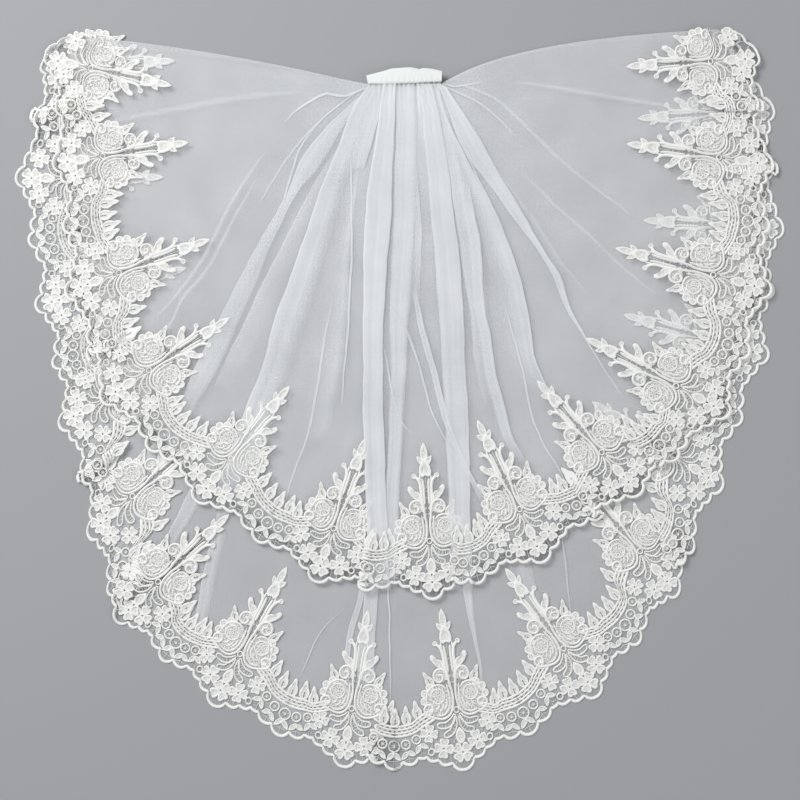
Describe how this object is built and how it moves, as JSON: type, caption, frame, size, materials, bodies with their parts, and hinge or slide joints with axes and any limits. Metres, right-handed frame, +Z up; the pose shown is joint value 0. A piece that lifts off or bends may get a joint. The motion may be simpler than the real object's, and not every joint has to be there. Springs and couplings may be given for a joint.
{
  "type": "two-tier bridal veil",
  "caption": "Two-tier bridal veil of gathered tulle with a wide scalloped lace border, laid flat with its header band and comb.",
  "frame": {"origin": "on the floor under the middle of the comb's spine, below the header band", "axes": "+X across the header to the right as laid, -Y down the length of the veil, +Z up from the floor"},
  "size_m": [0.8228, 0.7942, 0.0136],
  "materials": {
    "tulle": "sheer soft net, matte",
    "lace": "ivory corded guipure lace, soft sheen",
    "ribbon": "white ribbon, soft satin",
    "comb_plastic": "clear to white moulded plastic"
  },
  "bodies": {
    "root": {"comb": "comb_plastic", "header_band": "ribbon", "lower_tulle": "tulle", "upper_tulle": "tulle", "lower_lace_left": "lace", "lower_lace_right": "lace", "upper_lace_left": "lace", "upper_lace_right": "lace"}
  },
  "joints": []
}
